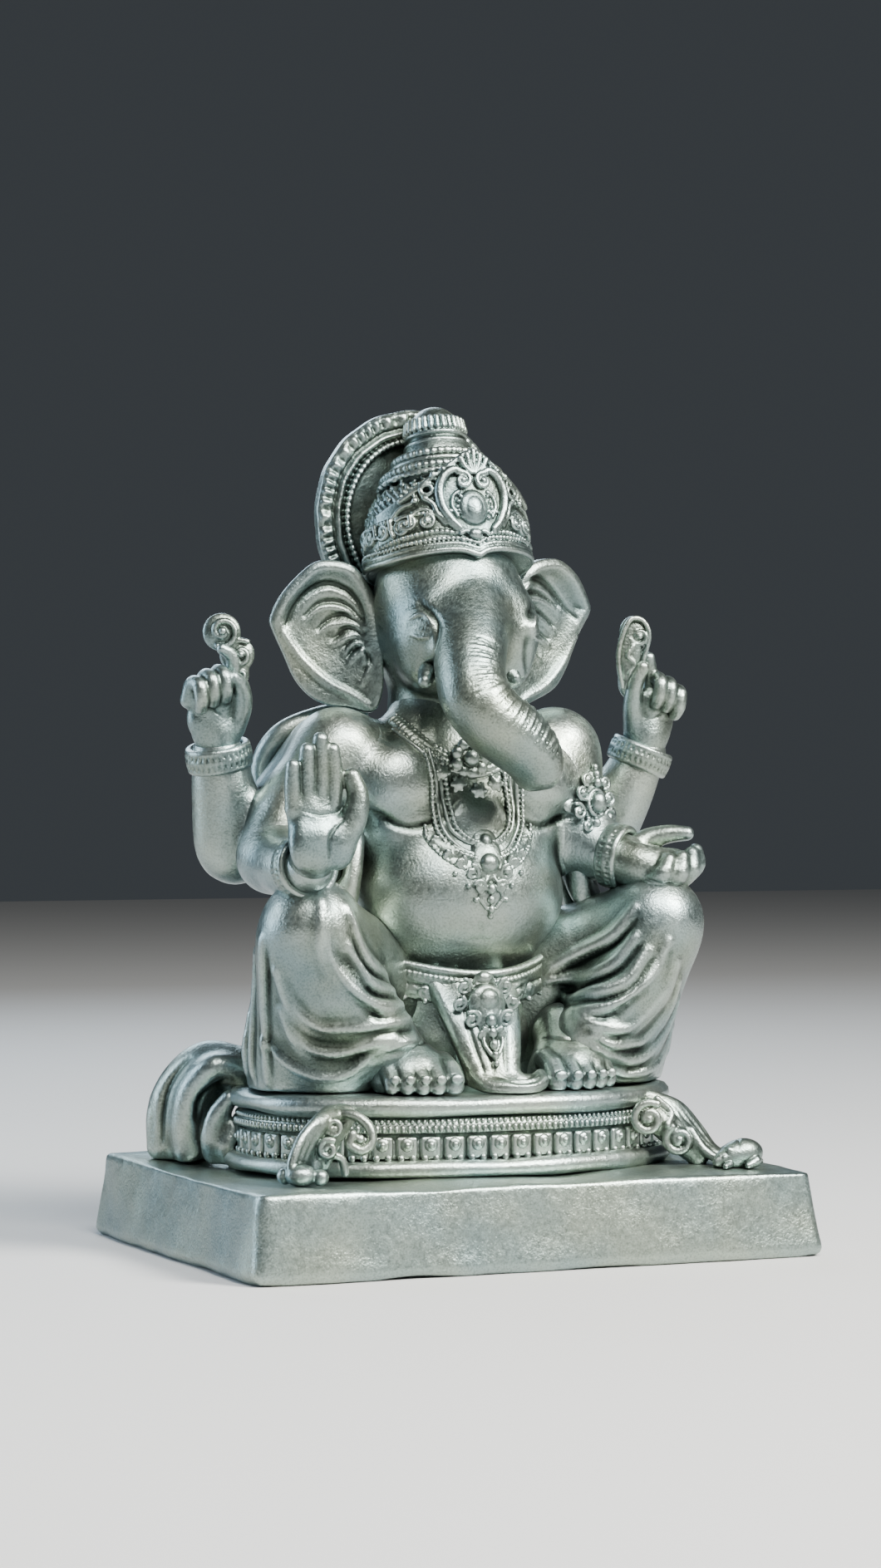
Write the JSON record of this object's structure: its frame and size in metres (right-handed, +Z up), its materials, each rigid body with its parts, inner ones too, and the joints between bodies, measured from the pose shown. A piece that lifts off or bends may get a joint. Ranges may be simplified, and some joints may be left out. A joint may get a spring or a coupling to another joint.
{
  "type": "ganesha idol",
  "caption": "Seated elephant-headed idol with four arms on an oval seat and rectangular slab, for a table or shrine shelf.",
  "frame": {"origin": "centre of the slab's underside", "axes": "+Z up, -Y the way the idol faces, -X the idol's right"},
  "size_m": [0.18, 0.141, 0.2537],
  "materials": {
    "skin_silver": "satin silver paint with fine grain, darkened in the creases",
    "ornament_silver": "satin silver paint, bright on raised relief and dark in the recesses",
    "cloth_silver": "satin silver paint over moulded folds, darkened in the furrows",
    "slab_silver": "brushed-on silver paint over an uneven cast surface"
  },
  "bodies": {
    "root": {"base_slab": "slab_silver", "seat_lip": "ornament_silver", "seat_petal_frieze": "ornament_silver", "seat_bead_moulding": "ornament_silver", "seat_top_plate": "cloth_silver", "mouse": "skin_silver", "scroll_foot_right": "ornament_silver", "scroll_foot_left": "ornament_silver", "seat_cloth": "cloth_silver", "foot_right": "skin_silver", "foot_left": "skin_silver", "halo": "ornament_silver", "head": "skin_silver", "tusk_right": "skin_silver", "tusk_left": "skin_silver", "crown_band": "ornament_silver", "crown_dome": "ornament_silver", "crown_crest": "ornament_silver", "crown_finial": "ornament_silver", "ear_right": "skin_silver", "ear_left": "skin_silver", "torso": "skin_silver", "hand_front_right": "skin_silver", "hand_front_left": "skin_silver", "hand_rear_right": "skin_silver", "hand_rear_left": "skin_silver", "attribute_right": "ornament_silver", "attribute_left": "ornament_silver", "forearm_front_right": "skin_silver", "forearm_front_left": "skin_silver", "upper_arm_front_right": "skin_silver", "upper_arm_front_left": "skin_silver", "arm_rear_right": "skin_silver", "arm_rear_left": "skin_silver", "bangle_front_right": "ornament_silver", "bangle_front_left": "ornament_silver", "bangle_rear_right": "ornament_silver", "bangle_rear_left": "ornament_silver", "waist_belt": "ornament_silver", "leg_right": "cloth_silver", "leg_left": "cloth_silver", "belt_pendant": "ornament_silver", "front_sash": "cloth_silver", "necklace_pendant": "ornament_silver", "collar_necklace": "ornament_silver", "long_necklace": "ornament_silver", "armlet_left": "ornament_silver", "shoulder_cloth": "cloth_silver", "side_cloth_right": "cloth_silver", "side_cloth_left": "cloth_silver"}
  },
  "joints": []
}
